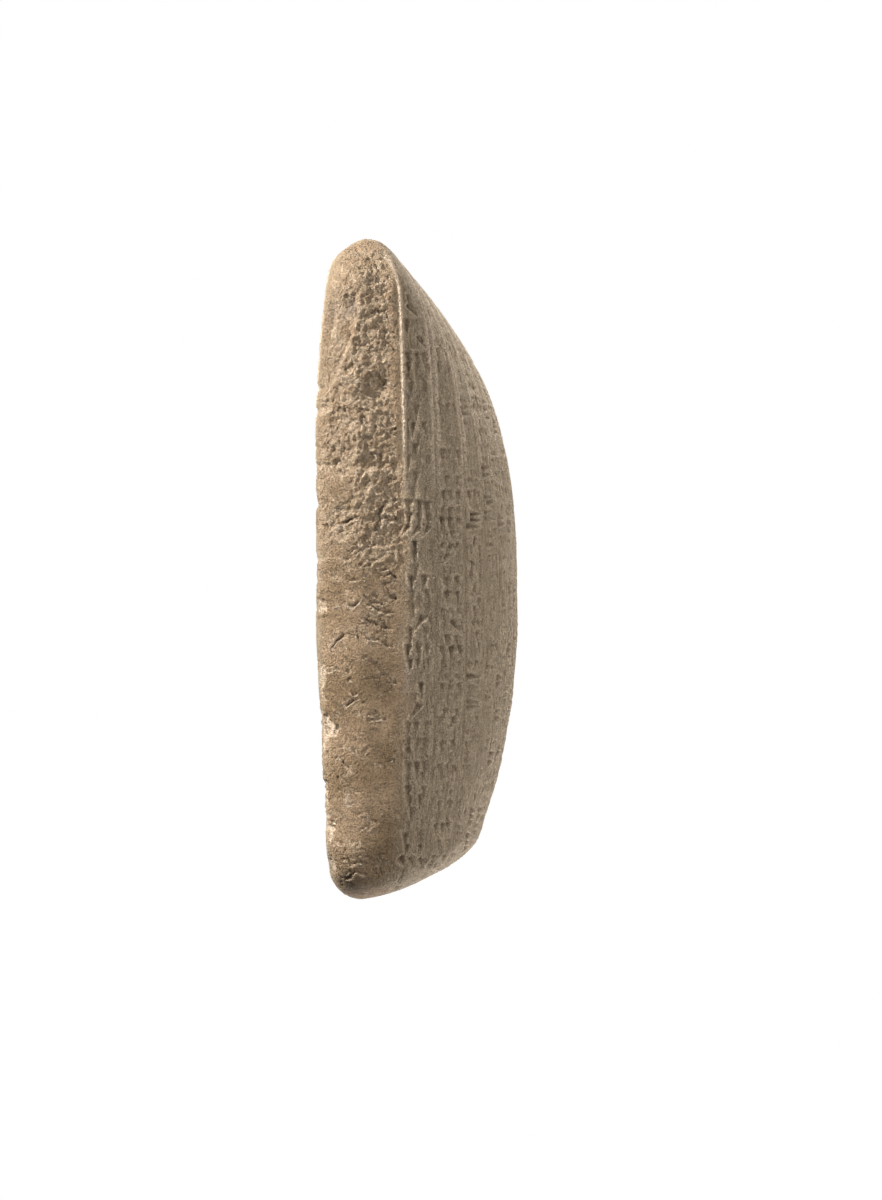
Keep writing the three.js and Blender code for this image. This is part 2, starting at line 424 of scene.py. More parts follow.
@dataclass
class ReliefSheet:
    """Heights over a flat sheet of surface, in millimetres, with cuts below zero.

    Its second layer tells, from 0 to 1, where the clay is loose, and where a ruling's lip is
    painted pale as a highlight. A groove strays off its path, with one steep side and one gentle
    side, as shares of its half width. A stroke's heel, behind its head, is a share of the head's
    width.
    """

    low: tuple[float, float]
    high: tuple[float, float]
    cell: float = 0.1
    stray: float = 0.5
    stray_size: float = 1.2
    steep_side: float = 0.8
    gentle_side: float = 2.4
    heel: float = 0.28
    tail_width: float = 0.14
    lip_share: float = 0.2
    lip_reach: float = 0.26
    height: np.ndarray = field(init=False)
    loose: np.ndarray = field(init=False)

    def __post_init__(self) -> None:
        """Starts with a sheet that nothing has marked."""
        shape = [int((b - a) / self.cell) + 2 for a, b in zip(self.low, self.high)]
        self.height = np.zeros(shape)
        self.loose = np.zeros(shape)

    def window(self, centre: tuple[float, float], reach: float) -> tuple[slice, slice] | None:
        """Finds the cells around a place.

        Args:
            centre: The place, along and across the sheet.
            reach: How far the cells go from it.

        Returns:
            The two spans of cells, or None where the sheet has none.
        """
        spans = []
        for middle, low, count in zip(centre, self.low, self.height.shape):
            first = max(int((middle - reach - low) / self.cell), 0)
            last = min(int((middle + reach - low) / self.cell) + 2, count)
            if first >= last:
                return None
            spans.append(slice(first, last))
        return spans[0], spans[1]

    def places(self, window: tuple[slice, slice]) -> tuple[np.ndarray, np.ndarray]:
        """Finds where the cells of a window are.

        Args:
            window: The two spans of cells.

        Returns:
            The places along the sheet, as a column, and those across it, as a row.
        """
        u = self.low[0] + np.arange(window[0].start, window[0].stop) * self.cell
        v = self.low[1] + np.arange(window[1].start, window[1].stop) * self.cell
        return u[:, None], v[None, :]

    def press(self, window: tuple[slice, slice], cut: np.ndarray, lip: np.ndarray) -> None:
        """Presses a cut into the sheet and raises the clay beside it.

        Args:
            window: The cells that change.
            cut: How deep the tool goes, zero or less.
            lip: How high the pushed-up clay stands outside the cut.
        """
        old = self.height[window]
        raised = np.where(old > -0.02, np.maximum(old, lip), old)
        self.height[window] = np.where(cut < -1e-3, np.minimum(old, cut), raised)

    def groove(self, path: np.ndarray, size: tuple[float, float, float, float],
               seed: int) -> None:
        """Cuts a groove that narrows towards its two ends.

        Args:
            path: Its points, two coordinates to a row.
            size: Its width and depth in the middle, its lips' height and the crumbs' reach.
            seed: Which unevenness it gets.
        """
        width, depth, lip, crumbs = size
        reach = (path.max(0) - path.min(0)).max() / 2 + 2 * crumbs + 1
        window = self.window(tuple((path.max(0) + path.min(0)) / 2), reach)
        if window is None:
            return
        u, v = np.broadcast_arrays(*self.places(window))
        cells = np.stack([u.ravel(), v.ravel()], 1)
        strayed = cells + self.stray * np.stack([
            layered_noise(cells, self.stray_size, 4, number, 0.65) for number in (seed, seed + 50)
        ], 1)
        lengths = np.linalg.norm(np.diff(path, axis=0), axis=1)
        starts = np.concatenate([[0], np.cumsum(lengths)[:-1]]) / lengths.sum()
        nearest = np.full(len(cells), 1e9)
        along = np.zeros(len(cells))
        gentle = np.zeros(len(cells), bool)
        for a, b, first, size in zip(path[:-1], path[1:], starts, lengths):
            share = np.clip((strayed - a) @ (b - a) / (size * size), 0, 1)
            away = strayed - a - share[:, None] * (b - a)
            distance = np.linalg.norm(away, axis=1)
            closer = distance < nearest
            nearest = np.where(closer, distance, nearest)
            along = np.where(closer, first + share * size / lengths.sum(), along)
            gentle = np.where(closer, away[:, 0] > 0, gentle)
        taper = np.sqrt(np.clip(4 * along * (1 - along), 0.0, 1)) + 1e-3
        taper *= np.clip(0.9 + 0.5 * smooth_noise(cells, 0.9, seed + 9), 0.2, 1.2)
        half = width / 2 * taper * np.where(gentle, self.gentle_side, self.steep_side)
        cut = -depth * taper * np.clip(1 - nearest / half, 0, 1)
        rim = lip * taper * gentle * np.exp(-((nearest - half) / (0.6 * width)) ** 2)
        self.press(window, cut.reshape(u.shape), rim.reshape(u.shape))
        loose = np.exp(-(nearest / crumbs) ** 2) * taper
        loose *= ramp(-0.2, 0.2, layered_noise(cells, 1.6, 3, seed + 70))
        self.loose[window] = np.maximum(self.loose[window], loose.reshape(u.shape))

    def stroke(self, u0: float, v0: float, angle: float, size: tuple[float, float, float]) -> None:
        """Presses one wedge-headed stroke.

        Args:
            u0: Where its head is, along the sheet.
            v0: Where its head is, across the sheet.
            angle: The direction of its tail, in degrees.
            size: Its length, the width of its head and its depth.
        """
        length, head, depth = size
        window = self.window((u0, v0), length + 1.5)
        if window is None:
            return
        u, v = self.places(window)
        turn = math.radians(angle)
        along = (u - u0) * math.cos(turn) + (v - v0) * math.sin(turn)
        across = np.abs((v - v0) * math.cos(turn) - (u - u0) * math.sin(turn))
        share = np.clip(along / length, 0, 1)
        heel = self.heel * head
        half = head / 2 * (1 - share) ** 1.25 * (along < length) + self.tail_width * (1 - share)
        back_wall = np.clip((along + heel) / heel, 0, 1)
        floor = depth * (1 - share) ** 0.75 * back_wall
        cut = -floor * np.clip(1 - across / np.maximum(half, 1e-3), 0, 1) ** 0.85
        outside = np.maximum(across - half, 0) + np.maximum(-along - heel, 0)
        outside = outside + np.maximum(along - length, 0)
        rim = self.lip_share * depth * np.exp(-(outside / self.lip_reach) ** 2)
        self.press(window, cut, rim)

    def sample(self, values: np.ndarray, u: np.ndarray, v: np.ndarray) -> np.ndarray:
        """Looks up one of the sheet's layers between its cells.

        Args:
            values: The layer.
            u: Places along the sheet.
            v: Places across it.

        Returns:
            The values there.
        """
        a = np.clip((u - self.low[0]) / self.cell, 0, self.height.shape[0] - 1.001)
        b = np.clip((v - self.low[1]) / self.cell, 0, self.height.shape[1] - 1.001)
        i, j = a.astype(int), b.astype(int)
        s, t = a - i, b - j
        lower = values[i, j] * (1 - t) + values[i, j + 1] * t
        upper = values[i + 1, j] * (1 - t) + values[i + 1, j + 1] * t
        return lower * (1 - s) + upper * s


@dataclass
class Writing:
    """Ruled rows of wedge-headed strokes on one face. They are no real signs.

    The first rows near the band start later and lie mostly along the row. The shares say how
    often each kind of stroke comes, in the order of StrokeKind.
    """

    row_pitch: float = 5.8
    first_row: float = 0.8
    stroke_length: float = 3.0
    head_width: float = 1.1
    depth: float = 0.8
    level_rows: int = 2
    late_rows: int = 5
    late_margin: float = 8.0
    late_spread: float = 12.0
    group_gap: tuple[float, float] = (0.2, 0.9)
    margin: float = 2.5
    rule_depth: float = 0.5
    rule_width: float = 0.34
    rule_wander: float = 0.25
    lip_height: float = 0.14
    lip_place: float = 0.5
    row_gap: float = 1.0
    level_shares: tuple[float, ...] = (0.84, 0.0, 0.08, 0.08)
    mixed_shares: tuple[float, ...] = (0.44, 0.34, 0.11, 0.11)
    seed: int = 11

    def draw(self, sheet: ReliefSheet, half_length: float, reach: float) -> None:
        """Rules the rows and fills them with strokes.

        Args:
            sheet: The face's relief, along the tablet and across the face.
            half_length: Half the tablet's length.
            reach: How far the face goes from its near rim to its far rim.
        """
        dice = np.random.RandomState(self.seed)
        rows = int((reach - self.first_row) / self.row_pitch) + 1
        for row in range(rows):
            line = self.first_row + row * self.row_pitch
            self._rule(sheet, line, half_length, row)
            late = self.margin
            if row < self.late_rows:
                late = self.late_margin + dice.uniform(0, self.late_spread)
            u, last = late - half_length, half_length - self.margin - dice.uniform(0, 3)
            while u < last:
                wide = self._group(sheet, (u, line + self.row_gap / 2), row < self.level_rows, dice)
                u += wide + dice.uniform(*self.group_gap)

    def _rule(self, sheet: ReliefSheet, line: float, half_length: float, row: int) -> None:
        """Draws a row's ruled line, a shallow groove that wanders a little and fades.

        Args:
            sheet: The face's relief.
            line: Where the line is, across the face.
            half_length: Half the tablet's length.
            row: The row's number. The first has only a lip, and only at the thin end.
        """
        u = sheet.low[0] + np.arange(sheet.height.shape[0]) * sheet.cell
        wander = smooth_noise(np.stack([u, np.full_like(u, row * 7.3)], 1), 23, self.seed)
        strength = 0.6 + 0.4 * smooth_noise(np.stack([u, np.full_like(u, row * 3.1)], 1), 13, 5)
        strength *= ramp(half_length - 2.5, half_length - 5, np.abs(u))
        thin_end = ramp(-0.05, -0.5, u / half_length)
        strength *= 0.6 + 0.4 * thin_end if row else thin_end
        window = sheet.window((0, line), 1.6)
        if window is None:
            return
        span = (slice(0, len(u)), window[1])
        _, v = sheet.places(span)
        away = np.abs(v - (line + self.rule_wander * wander)[:, None])
        groove = self.rule_depth if row else 0.0
        cut = -groove * strength[:, None] * np.clip(1 - away / self.rule_width, 0, 1)
        beside = away - self.lip_place
        side = 1 if row else v > line
        rim = self.lip_height * (strength * (1 + 1.5 * thin_end))[:, None]
        sheet.press(span, cut, rim * np.exp(-(beside / 0.22) ** 2) * side)
        # Painted highlight: the ruling's lip is painted pale, most at the thin end
        lit_lip = (strength * thin_end)[:, None] * np.exp(-(beside / 0.26) ** 2) * side
        sheet.loose[span] = np.maximum(sheet.loose[span], np.clip(2.6 * lit_lip, 0, 1))

    def _group(self, sheet: ReliefSheet, place: tuple[float, float], level: bool,
               dice: np.random.RandomState) -> float:
        """Presses one group of strokes, stacked or side by side.

        Args:
            sheet: The face's relief.
            place: Where the group starts, along and across the face.
            level: Whether most of its strokes lie along the row.
            dice: What decides the strokes.

        Returns:
            The group's width.
        """
        wide = 0.0
        u, v = place
        kinds = list(StrokeKind)
        room = self.row_pitch - self.row_gap
        shares = self.level_shares if level else self.mixed_shares
        for _ in range(dice.randint(1, 3)):
            kind = kinds[dice.choice(4, p=shares)]
            count = dice.randint(1, 4)
            scale = dice.uniform(0.75, 1.1)
            worn = dice.uniform(0.45, 1.2)
            for step in range(count):
                head = self.head_width * scale * dice.uniform(0.85, 1.1)
                length = self.stroke_length * scale * dice.uniform(0.85, 1.1)
                depth = self.depth * worn * dice.uniform(0.8, 1.15)
                lean = kind.value + dice.normal(0, 4)
                if kind is StrokeKind.UPRIGHT:
                    size = (room * dice.uniform(0.6, 0.95), head, depth)
                    sheet.stroke(u + wide, v + dice.uniform(0, 0.15) * room, lean, size)
                    wide += head * dice.uniform(0.95, 1.2)
                else:
                    across = v + room * (step + dice.uniform(0.3, 0.6)) / count
                    aside = dice.uniform(-0.15, 0.15)
                    sheet.stroke(u + wide + aside, across, lean, (length, head, depth))
            wide += 0.2 if kind is StrokeKind.UPRIGHT else 0.6 * length
        return wide


@dataclass(frozen=True)
class Crack:
    """A shrinkage crack: its path along and up a band, its size and how far crumbs reach."""

    path: tuple[tuple[float, float], ...]
    width: float = 0.45
    depth: float = 0.4
    crumbs: float = 0.9


@dataclass(frozen=True)
class Dent:
    """Clay gone from the surface: where, how far it reaches along and up, and how deep."""

    x: float
    z: float
    along: float
    up: float
    depth: float
    pale: float = 0.0


@dataclass
class BandMarks:
    """The cracks of one plain band, on a sheet along and up it.

    The middle of a crack keeps only a share of its named width and depth, because its steep and
    gentle sides spread it.
    """

    half_length: float
    height: float
    cracks: tuple[Crack, ...] = ()
    stray_cracks: int = 10
    seed: int = 3
    cell: float = 0.08
    width_share: float = 0.55
    depth_share: float = 0.75
    lip: float = 0.18
    stray_lip: float = 0.12

    def sheet(self) -> ReliefSheet:
        """Cuts the named cracks and some stray short ones.

        Returns:
            The band's relief.
        """
        low, high = (-self.half_length, -1.0), (self.half_length, self.height + 4)
        sheet = ReliefSheet(low, high, self.cell)
        for number, crack in enumerate(self.cracks):
            size = (self.width_share * crack.width, self.depth_share * crack.depth)
            size = (*size, self.lip, crack.crumbs)
            sheet.groove(np.array(crack.path), size, self.seed + 7 * number)
        dice = np.random.RandomState(self.seed)
        for number in range(self.stray_cracks):
            start = np.array([
                dice.uniform(-0.9, 0.9) * self.half_length,
                dice.uniform(0.15, 0.8) * self.height,
            ])
            steps = dice.normal(0, 1, (dice.randint(3, 6), 2)) * (0.7, 0.5) + (0.2, 1.1)
            path = np.concatenate([[start], start + np.cumsum(steps, 0)])
            size = (dice.uniform(0.2, 0.32), dice.uniform(0.15, 0.42))
            crumbs = dice.uniform(0.3, 0.8)
            sheet.groove(path, (*size, self.stray_lip, crumbs), self.seed + 31 * number)
        return sheet


# Cracks that cross the near band, each from the flat face towards the domed one
NEAR_CRACKS = (
    Crack(((6.0, 2.1), (6.1, 3.0), (5.8, 4.2), (6.0, 5.7), (5.2, 6.8), (4.1, 7.5)), 0.5, 0.5),
    Crack(((6.0, 7.7), (5.7, 9.0), (6.6, 10.1), (6.9, 11.2), (7.5, 12.7)), 0.6, 0.5, 1.8),
    Crack(((4.2, 11.1), (2.4, 10.8), (2.3, 12.0), (1.7, 12.4)), 0.4, 0.35),
    Crack(((4.0, 11.2), (4.7, 12.3), (4.2, 13.6)), 0.4, 0.3),
    Crack(((13.0, 2.2), (12.2, 2.8), (11.2, 3.4), (10.6, 4.2), (10.4, 5.4), (10.6, 6.6)),
          0.65, 0.7, 1.2),
    Crack(((10.6, 6.6), (10.4, 7.6), (11.2, 8.7), (11.2, 10.1), (12.2, 11.2), (12.5, 12.8)),
          0.45, 0.4),
    Crack(((14.1, 7.4), (13.9, 8.4)), 0.45, 0.3),
    Crack(((16.5, 1.5), (16.3, 2.8), (15.8, 3.6), (16.3, 4.3)), 0.4, 0.3),
    Crack(((18.1, 4.7), (17.6, 5.2), (17.6, 6.1)), 0.6, 0.5, 1.4),
    Crack(((19.4, 5.4), (19.9, 6.3), (19.5, 7.3)), 0.5, 0.35),
    Crack(((17.6, 8.8), (17.4, 10.0), (18.0, 10.3)), 0.45, 0.35),
    Crack(((37.0, 4.4), (37.4, 5.4), (38.2, 6.4)), 0.5, 0.35),
    Crack(((41.7, 7.2), (40.8, 8.1), (41.7, 9.0), (41.7, 9.7)), 0.5, 0.35),
    Crack(((49.2, 3.4), (49.2, 4.7), (48.4, 6.6), (49.1, 8.4)), 0.8, 0.6),
    Crack(((-6.9, 2.6), (-7.7, 5.0), (-8.5, 6.8)), 0.9, 0.9),
    Crack(((-11.2, 11.7), (-9.5, 10.4), (-7.7, 10.1), (-5.7, 9.0)), 1.1, 0.9),
    Crack(((-0.7, 2.8), (-1.4, 4.1), (-1.7, 6.1)), 0.4, 0.3),
    Crack(((-42.2, 6.6), (-41.0, 6.3), (-39.8, 6.1)), 1.0, 1.4),
)

# Hollows and pale chips of the near band
NEAR_DENTS = (
    Dent(-29.0, 9.6, 2.0, 2.2, 0.35),
    Dent(-25.2, 7.2, 1.3, 1.2, 0.3),
    Dent(-17.0, 9.2, 1.5, 3.0, 0.4),
    Dent(25.6, 1.7, 2.3, 1.6, 0.55, 1.0),
    Dent(36.0, 1.2, 3.2, 1.0, 0.45, 0.9),
    Dent(42.0, 1.6, 2.2, 1.6, 0.5, 0.8),
    Dent(47.4, 2.4, 1.4, 0.8, 0.4, 0.5),
    Dent(17.2, 0.9, 3.4, 0.8, 0.4, 0.7),
    Dent(5.9, 0.9, 1.2, 0.9, 0.35, 0.6),
)


@dataclass
class BrokenPatch:
    """The part of the near band that has crumbled away towards the thin end.

    The heights of its lumps are in millimetres, from the coarsest to the finest.
    """

    first: float = -53.0
    last: float = -1.0
    top: float = 11.6
    depth: float = 0.4
    lumps: float = 0.44
    hollow: float = 1.1
    knobs: float = 0.15
    pits: float = 0.18
    crumbs: float = 0.24
    grains: float = 0.22
    hollow_smoothness: float = 0.6
    ridge_start: float = -41.7
    ridge_height: float = 6.6
    seed: int = 40

    def mask(self, points: np.ndarray, normals: np.ndarray) -> np.ndarray:
        """Where the clay is broken, from 0 to 1.

        Args:
            points: Points of the plain form.
            normals: Their outward directions.

        Returns:
            One share for each point.
        """
        x, _, z = points.T
        stray = 2.2 * layered_noise(points[:, [0, 2]], 6.0, 4, self.seed)
        top = self.top + 2.2 * ramp(-24, -14, x) - 0.6 * ramp(-33, -44, x)
        along = ramp(self.first - 1.0, self.first + 0.6, x + stray * 0.3 + 0.8)
        along *= ramp(self.last + 2.5, self.last - 4, x + 1.8 * stray)
        up = ramp(top + 1.2, top - 0.7, z + 0.5 * stray) * ramp(-0.2, 1.8, z + 0.3 * stray)
        facing = ramp(-0.2, -0.55, normals[:, 1])
        smooth_low = ramp(3.4, 0.5, np.hypot((x + 12.8) / 1.4, z - 3.0) + 0.4 * stray)
        return along * up * facing * (1 - 0.75 * smooth_low)

    def below_ridge(self, points: np.ndarray) -> np.ndarray:
        """Finds the smoother hollow between the flat face and a ridge that runs down to it.

        Args:
            points: Points of the plain form.

        Returns:
            One share for each point.
        """
        x, _, z = points.T
        past = x - self.ridge_start
        ridge = self.ridge_height - 0.12 * past - 0.018 * past * past
        wander = 0.35 * layered_noise(points[:, [0, 2]], 3.0, 3, 77)
        return ramp(0.3, -0.5, z - ridge + wander) * ramp(-27, -31, x) * ramp(-45, -41.5, x)

    def height(self, points: np.ndarray, mask: np.ndarray) -> np.ndarray:
        """Works out how far the crumbled clay lies off the plain form.

        Args:
            points: Points of the plain form.
            mask: Where the clay is broken.

        Returns:
            One height for each point, mostly below zero.
        """
        flat = points[:, [0, 2]]
        x, z = flat.T
        turned = np.stack([(0.8 * x - 0.6 * z) / 1.35, 0.6 * x + 0.8 * z], 1)
        lumps = layered_noise(flat, 5.5, 2, self.seed + 5)
        knobs = layered_noise(turned, 2.2, 3, self.seed + 7, 0.6)
        crumbs = layered_noise(turned, 0.9, 3, self.seed + 9, 0.85)
        pits = ramp(0.12, 0.5, layered_noise(flat, 1.5, 3, self.seed + 19, 0.7))
        hollow = self.below_ridge(points)
        sunk = self.depth + self.lumps * lumps + self.hollow * hollow
        grains = layered_noise(flat, 0.55, 2, self.seed + 15, 0.8)
        rough = self.knobs * knobs + self.crumbs * crumbs + self.grains * grains - self.pits * pits
        return mask * (rough * (1 - self.hollow_smoothness * hollow) + 0.02 - sunk)


@dataclass
class ClaySkin:
    """The worn surface: the plain form with all that marks it, and what colours it."""

    # What the finish reads at each point, from 0 to 1. The recess tone is painted shade in cuts and
    # cracks, and the pale tone holds chips and painted highlights
    TONES: ClassVar[tuple[str, ...]] = ("face", "broken", "pale", "blunt_corner_dark", "recess_shade", "ash")
    # Size and height of a hand-shaped piece's soft lumps, in millimetres
    SOFT_LUMPS: ClassVar[tuple[tuple[float, float], ...]] = ((17, 0.25), (6, 0.10))

    form: TabletForm
    grid: SkinGrid
    seed: int = 90
    stray_pits: int = 70
    grit_height: float = 0.06
    lean: float = 0.35
    lean_middle: float = 7.4
    swell: float = 0.8
    swell_place: float = 45.6
    scallop_size: float = 3.0
    deepest_scallop: float = 0.8
    crumb_size: float = 0.9
    crumb_height: float = 0.3
    ash_spot: tuple[float, float] = (7.0, 7.4)
    blunt_dark_start: tuple[float, float] = (48.0, 50.4)
    band_triangles: int = 74000
    band_reach: float = 3.4
    height: np.ndarray = field(init=False)
    normals: np.ndarray = field(init=False)
    tones: dict[str, np.ndarray] = field(init=False)

    def __post_init__(self) -> None:
        """Starts from the plain form."""
        self.normals = self.form.normals(self.grid.points)
        self.height = np.zeros(len(self.grid.points))
        blank = np.zeros(len(self.grid.points))
        self.tones = {name: blank.copy() for name in self.TONES}

    def press_by_hand(self) -> None:
        """Adds the soft lumps of a hand-shaped piece and the grit of the clay."""
        points = self.grid.points
        settled = ramp(0.2, 2.5, points[:, 2])
        for number, (size, height) in enumerate(self.SOFT_LUMPS):
            self.height += height * settled * smooth_noise(points, size, self.seed + number)
        grit = self.grit_height * (0.3 + 0.7 * settled)
        self.height += grit * layered_noise(points, 2.4, 4, self.seed + 2)
        x, y, z = points.T
        # The thin end leans a little, and the dome stands fuller near the blunt end
        self.height += self.lean * np.tanh((z - self.lean_middle) / 2) * ramp(-49.5, -52.5, x)
        swell = np.exp(-((x - self.swell_place) / 3.4) ** 2)
        self.height += self.swell * swell * ramp(15, 21, z)

    def wear_edge(self, side: float) -> None:
        """Takes scallops out of the corner between a long band and the flat face.

        Args:
            side: -1 for the near band and 1 for the far one.
        """
        x, y, z = self.grid.points.T
        across = side * y
        bites = layered_noise(np.stack([x, y / 4], 1), self.scallop_size, 5,
                              self.seed + 30 + int(side), 0.65)
        reach = 2.4 + 1.6 * layered_noise(np.stack([x, z], 1), 4.5, 4, self.seed + 36, 0.65)
        depth = np.clip(bites + 0.08, 0, self.deepest_scallop) * ramp(22, 32, across)
        depth *= ramp(reach + 0.5, reach - 1.2, z)
        self.height -= depth
        chipped = ramp(0.2, 0.3, depth) * ramp(34, 37, across) * (0.15 + 0.5 * ramp(0, 20, x))
        self.tones["pale"] = np.maximum(self.tones["pale"], chipped)

    def write(self) -> None:
        """Writes both faces, the flat one more plainly."""
        texts = {"dome": Writing(), "flat": Writing(depth=0.6, seed=23, first_row=3.4)}
        for name, writing in texts.items():
            ids = self.grid.sheets[name]
            across = self.grid.across(name)
            reach = across[:, -1].max()
            half = self.form.length / 2
            sheet = ReliefSheet((-half - 1, -1.0), (half + 1, reach + 1))
            writing.draw(sheet, half, reach - 2)
            x = self.grid.points[ids, 0]
            inset = ramp(-0.4, 0.8, across) * ramp(0.5, 3.5, across[:, -1:] - across)
            inset *= ramp(half - 0.5, half - 3.5, np.abs(x))
            relief = sheet.sample(sheet.height, x, across)
            worn = 0.75 + 0.35 * smooth_noise(self.grid.points[ids.ravel()], 14, self.seed + 4)
            relief *= inset * worn.reshape(ids.shape)
            self.height[ids] += relief
            # Painted shade: the cuts of the strokes and rulings are darkened by their depth
            self.tones["recess_shade"][ids] = np.clip(-relief / 0.7, 0, 1)
            # Painted highlight on the raised lips of the strokes and rulings
            self.tones["pale"][ids] = np.maximum(
                0.7 * np.clip((relief - 0.02) / 0.08, 0, 1), sheet.sample(sheet.loose, x, across))
            fringe = 2.2 * layered_noise(self.grid.points[ids.ravel()], 5.0, 4, self.seed + 6)
            edge = across + fringe.reshape(ids.shape)
            self.tones["face"][ids] = ramp(-1.5, 4.0, edge) * ramp(-1.5, 4.0, across[:, -1:] - edge)

    def crack_bands(self) -> None:
        """Cuts the shrinkage cracks of the four bands."""
        half_x, half_y = self.form.length / 2, self.form.width / 2
        height = self.form.band_height
        bands = {
            "near": (0, BandMarks(half_x, height, NEAR_CRACKS, 80, 301)),
            "far": (0, BandMarks(half_x, height, (), 60, 302)),
            "thin": (1, BandMarks(half_y, height, (), 16, 303)),
            "blunt": (1, BandMarks(half_y, height, (), 16, 304)),
        }
        for name, (axis, marks) in bands.items():
            ids = self.grid.sheets[name]
            place = self.grid.points[ids]
            sheet = marks.sheet()
            relief = sheet.sample(sheet.height, place[..., axis], place[..., 2])
            relief *= ramp(0.2, 1.2, place[..., 2])
            loose = sheet.sample(sheet.loose, place[..., axis], place[..., 2])
            crumbs = layered_noise(place.reshape(-1, 3), self.crumb_size, 3, self.seed + 12, 0.8)
            crumbs = crumbs.reshape(loose.shape)
            self.tones["broken"][ids] = 0.8 * loose
            # Pale crumbs beside the cracks, and a painted highlight on the cracks' raised lips
            self.tones["pale"][ids] = np.maximum(
                0.8 * loose * ramp(0.15, 0.45, crumbs), 0.9 * ramp(0.02, 0.1, relief))
            self.height[ids] += relief + loose * (self.crumb_height * crumbs - 0.05)
            # Painted shade: the cracks are darkened by their depth
            self.tones["recess_shade"][ids] = np.maximum(
                self.tones["recess_shade"][ids], np.clip(-relief / 0.5, 0, 1))

    def crumble(self) -> None:
        """Breaks the near band towards the thin end."""
        patch = BrokenPatch()
        mask = patch.mask(self.grid.points, self.normals)
        sunk = patch.height(self.grid.points, mask)
        self.height = self.height * (1 - 0.5 * mask) + sunk
        x, _, z = self.grid.points.T
        loose = mask * (0.3 + 0.7 * ramp(-53, -46, x))  # the tip is browner
        self.tones["broken"] = np.maximum(self.tones["broken"], loose)
        film = layered_noise(self.grid.points, 5.0, 4, self.seed + 17)
        ash = patch.below_ridge(self.grid.points) * ramp(-36, -39, x) * ramp(-46, -41, x) * mask
        spot_x, spot_z = self.ash_spot
        spot = np.exp(-(((x - spot_x) / 2.4) ** 2 + ((z - spot_z) / 1.5) ** 2))
        ash += 0.35 * spot * ramp(-36, -38, self.grid.points[:, 1])
        ash *= ramp(-0.5, 0.3, film)
        rim = np.exp(-((z - 14.6) / 1.0) ** 2) * ramp(0.05, 0.4, film) * (1 - mask)
        self.tones["ash"] = np.clip(ash + 0.7 * rim, 0, 1)
        self.tones["face"] *= 1 - mask

    def dent(self, dents: tuple[Dent, ...], side: float) -> None:
        """Takes chips and hollows out of one long band.

        Args:
            dents: The chips and hollows.
            side: -1 for the near band and 1 for the far one.
        """
        points = self.grid.points
        facing = ramp(0.15, 0.5, side * self.normals[:, 1])
        for number, dent in enumerate(dents):
            close = np.abs(points[:, 0] - dent.x) < 1.8 * dent.along
            close &= np.abs(points[:, 2] - dent.z) < 1.8 * dent.up + 0.6
            close &= facing > 0
            near = points[close]
            gap = np.hypot((near[:, 0] - dent.x) / dent.along, (near[:, 2] - dent.z) / dent.up)
            gap += 1.3 * layered_noise(near, 0.8 * dent.up + 0.5, 5, self.seed + 13 * number, 0.7)
            inside = ramp(0.95, 0.7, gap) * facing[close]
            rough = layered_noise(near, self.crumb_size, 3, self.seed + 13 * number + 5, 0.8)
            rough *= self.crumb_height
            floor = 1 + rough - 0.35 * np.clip(gap, 0, 1) ** 2
            self.height[close] -= dent.depth * inside * floor
            self.tones["pale"][close] = np.maximum(self.tones["pale"][close], dent.pale * inside)

    def scatter_dents(self, side: float, dice: np.random.RandomState) -> None:
        """Adds small stray pits to a long band.

        Args:
            side: -1 for the near band and 1 for the far one.
            dice: What decides the pits.
        """
        half = self.form.length / 2
        pits = [
            Dent(dice.uniform(-0.95, 0.95) * half, dice.uniform(1.5, 13), dice.uniform(0.15, 0.35),
                 dice.uniform(0.15, 0.5), dice.uniform(0.06, 0.2), dice.uniform(-0.2, 0.6))
            for _ in range(self.stray_pits)
        ]
        self.dent(tuple(pits), side)

    def darken_blunt_corner(self) -> None:
        """Darkens the near band's corner at the blunt end."""
        points = self.grid.points
        stray = 2.4 * layered_noise(points, 7.0, 3, self.seed + 8)
        x, y, z = points.T
        dark = ramp(*self.blunt_dark_start, x + 0.35 * stray) * ramp(-30, -37, y)
        dark *= ramp(13.5, 6.5, z + stray)
        self.tones["blunt_corner_dark"] = np.clip(dark, 0, 1)

    def build(self, name: str, most_triangles: int) -> bpy.types.Object:
        """Makes the mesh, thinned where the surface is smooth.

        Args:
            name: Name of the object.
            most_triangles: How many triangles it may keep.

        Returns:
            The object, in metres.
        """
        place = (self.grid.points + self.normals * self.height[:, None]) * MM
        quads = self.grid.quads
        dense = bpy.data.meshes.new(name + "_dense")
        dense.from_pydata(place.astype(np.float32), [], quads.astype(np.int32))
        for tone, values in self.tones.items():
            layer = dense.attributes.new(tone, "FLOAT", "POINT")
            layer.data.foreach_set("value", values.astype(np.float32))
        piece = bpy.data.objects.new(name, dense)
        bpy.context.scene.collection.objects.link(piece)
        band = self._near_band(self.grid.points)
        kept = 2 * int(band[quads].any(axis=1).sum())
        self._thin(piece, ~band, kept + most_triangles - self.band_triangles)
        place = np.zeros(3 * len(piece.data.vertices))
        piece.data.vertices.foreach_get("co", place)
        self._thin(piece, self._near_band(place.reshape(-1, 3) / MM), most_triangles)
        piece.data.name = name
        piece.data.polygons.foreach_set("use_smooth", np.ones(len(piece.data.polygons), bool))
        return piece

    def _near_band(self, points: np.ndarray) -> np.ndarray:
        """Finds the points of the near band, which keeps the most triangles.

        Args:
            points: Rows of three coordinates, in millimetres.

        Returns:
            Whether each point is on it.
        """
        near = points[:, 1] < self.band_reach - self.form.width / 2
        return near & (points[:, 2] < self.form.band_height + 1)

